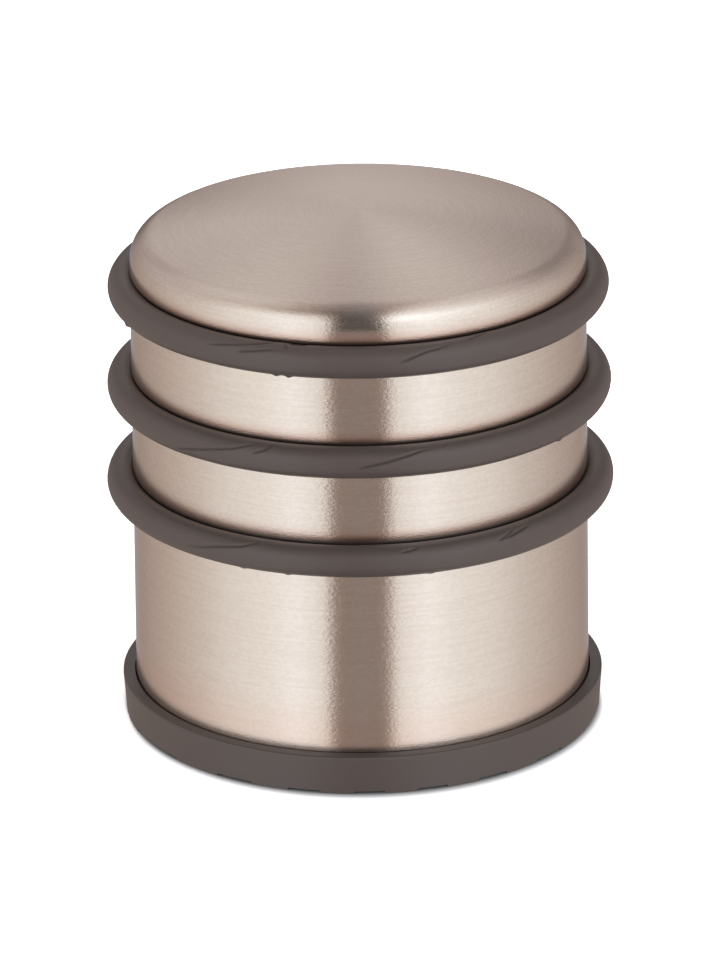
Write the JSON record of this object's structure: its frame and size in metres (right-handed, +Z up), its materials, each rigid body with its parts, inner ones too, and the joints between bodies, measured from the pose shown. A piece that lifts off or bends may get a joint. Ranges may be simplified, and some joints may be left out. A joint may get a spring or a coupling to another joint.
{
  "type": "floor door stop",
  "caption": "Free-standing weighted door stop: a brushed steel drum with a shallow domed top, rubber rings seated in rolled grooves and a ribbed rubber base pad.",
  "frame": {"origin": "centre of the base on the floor, under the tread ribs", "axes": "+Z up along the drum's axis of symmetry; the tread ribs run along Y"},
  "size_m": [0.087, 0.087, 0.09],
  "materials": {
    "cover_steel": "satin",
    "ballast": "matte",
    "ring_rubber": "matte",
    "pad_rubber": "matte"
  },
  "bodies": {
    "root": {"steel_cover": "cover_steel", "ballast_core": "ballast", "lower_ring": "ring_rubber", "middle_ring": "ring_rubber", "upper_ring": "ring_rubber", "base_pad": "pad_rubber"}
  },
  "joints": []
}
